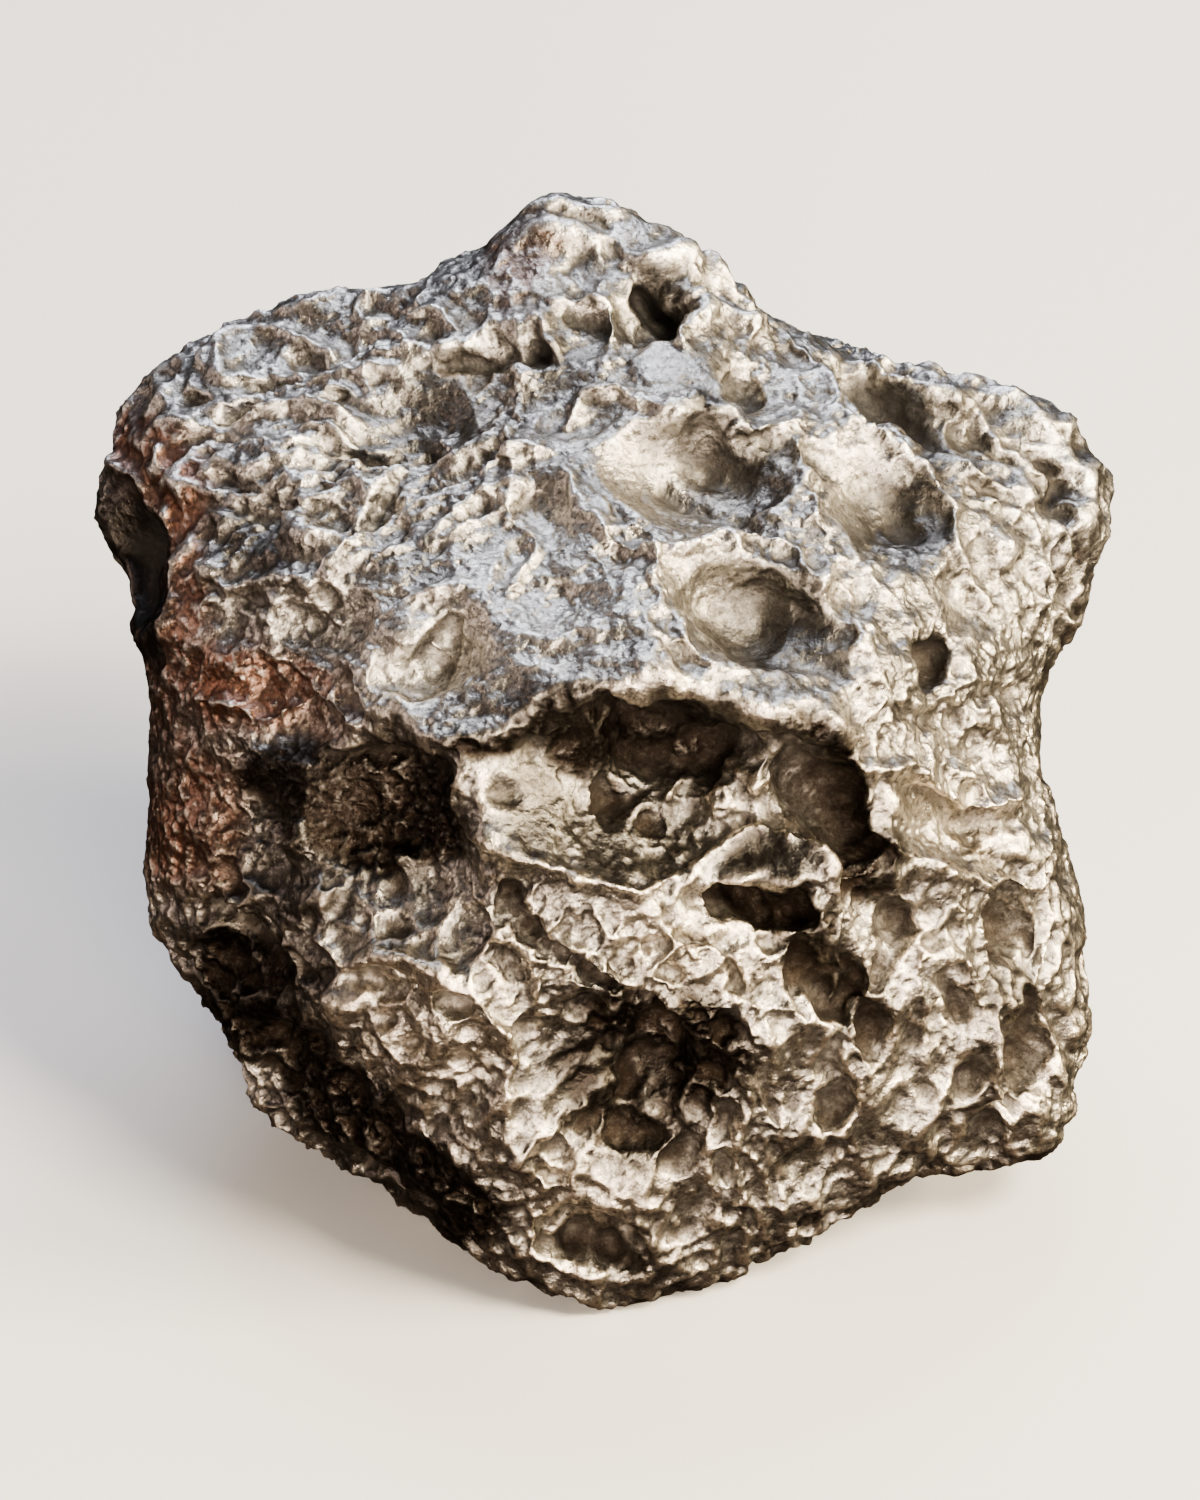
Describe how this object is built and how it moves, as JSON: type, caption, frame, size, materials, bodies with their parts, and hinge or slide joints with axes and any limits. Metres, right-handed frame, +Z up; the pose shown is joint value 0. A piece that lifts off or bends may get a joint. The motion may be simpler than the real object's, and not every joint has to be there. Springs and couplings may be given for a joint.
{
  "type": "meteorite",
  "caption": "Palm-sized lump of bare iron-nickel with a pointed summit, a deep cave under its brow and smooth thumbprint bowls between sharp crests, resting on a worn flat underside.",
  "frame": {"origin": "on the table plane, under the middle of the lump's bounding box", "axes": "+X to the right along the broad face, +Y away from the broad face towards the back, +Z up from the flat underside to the summit"},
  "size_m": [0.051, 0.046, 0.0434],
  "materials": {
    "bare_iron": "satin"
  },
  "bodies": {
    "root": {"meteorite": "bare_iron"}
  },
  "joints": []
}
